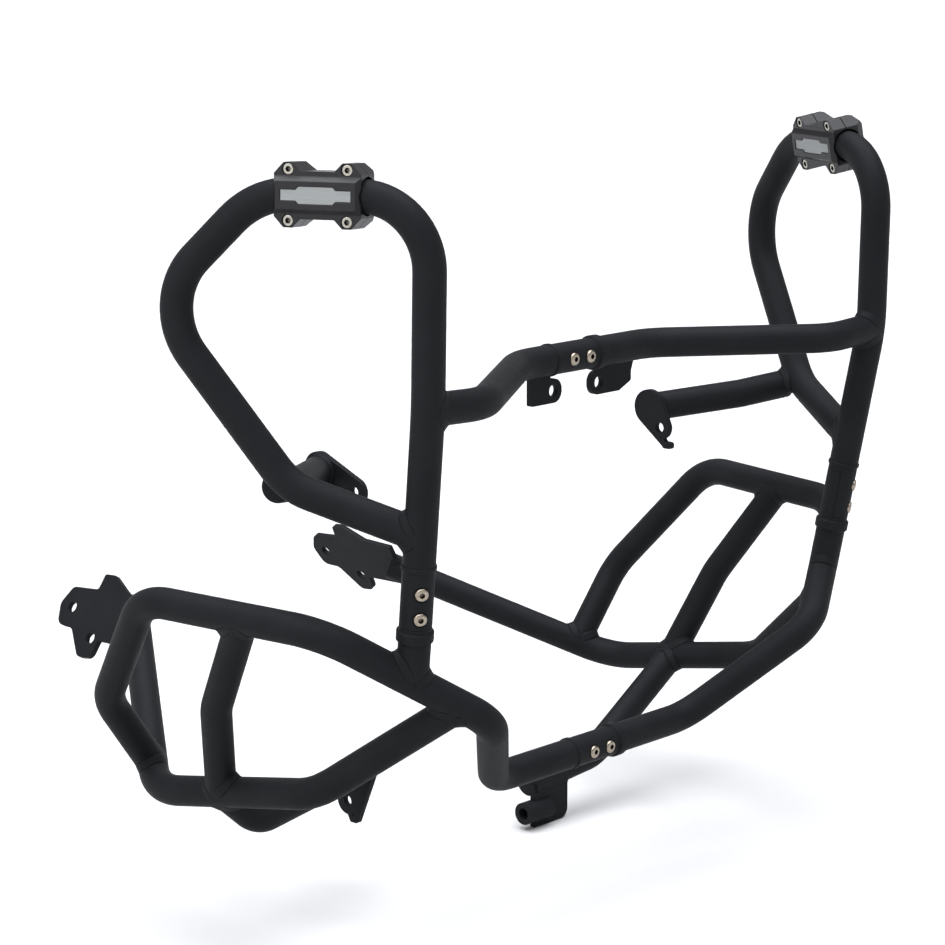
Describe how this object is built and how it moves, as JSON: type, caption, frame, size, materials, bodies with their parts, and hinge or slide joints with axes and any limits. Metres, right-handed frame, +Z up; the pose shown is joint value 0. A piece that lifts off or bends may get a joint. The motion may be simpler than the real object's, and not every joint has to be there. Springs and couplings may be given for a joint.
{
  "type": "motorcycle crash bars",
  "caption": "Bent-tube motorcycle crash bars: a looped guard each side, bolted together at the middle, with tabs, plates and a bush that fix it round the engine.",
  "frame": {"origin": "midway between the two head tab holes, in the middle of the tabs' thickness", "axes": "+Z up, +Y to the rear of the motorcycle, +X to its left"},
  "size_m": [0.7324, 0.5883, 0.6283],
  "materials": {
    "coat": "fine-textured satin black powder coat on steel",
    "splice_screw": "plain stainless button head",
    "clamp_coat": "semi-gloss black coat on cast alloy",
    "clamp_screw": "bright plated steel",
    "badge": "bare satin aluminium",
    "liner": "black rubber sleeve"
  },
  "bodies": {
    "root": {"left_upper_loop": "coat", "left_upper_brace": "coat", "left_brace_plug": "coat", "left_brace_plate": "coat", "left_lower_rail": "coat", "left_rail_plug": "coat", "left_rear_plate": "coat", "left_hoop_strut": "coat", "left_upright_stub": "coat", "left_upright_splice_welded_half": "coat", "left_upright_splice_plugged_half": "coat", "left_crossbar": "coat", "left_lower_hoop": "coat", "left_lower_stay": "coat", "left_stay_bracket": "coat", "left_head_tab": "coat", "right_upper_loop": "coat", "right_upper_brace": "coat", "right_brace_plug": "coat", "right_brace_plate": "coat", "right_lower_rail": "coat", "right_rail_plug": "coat", "right_rear_plate": "coat", "right_hoop_strut": "coat", "right_upright_stub": "coat", "right_upright_splice_welded_half": "coat", "right_upright_splice_plugged_half": "coat", "right_crossbar": "coat", "right_lower_hoop": "coat", "right_lower_stay": "coat", "right_stay_bracket": "coat", "right_head_tab": "coat", "left_stay_bush": "coat", "left_stay_plug": "coat", "crossbar_splice_welded_half": "coat", "crossbar_splice_plugged_half": "coat", "lower_hoop_splice_welded_half": "coat", "lower_hoop_splice_plugged_half": "coat", "left_upright_splice_screws": "splice_screw", "right_upright_splice_screws": "splice_screw", "crossbar_splice_screws": "splice_screw", "lower_hoop_splice_screws": "splice_screw", "left_clamp_front": "clamp_coat", "left_clamp_back": "clamp_coat", "left_clamp_liner": "liner", "left_clamp_badge": "badge", "left_clamp_screws": "clamp_screw", "left_clamp_nuts": "clamp_screw", "right_clamp_front": "clamp_coat", "right_clamp_back": "clamp_coat", "right_clamp_liner": "liner", "right_clamp_badge": "badge", "right_clamp_screws": "clamp_screw", "right_clamp_nuts": "clamp_screw"}
  },
  "joints": []
}
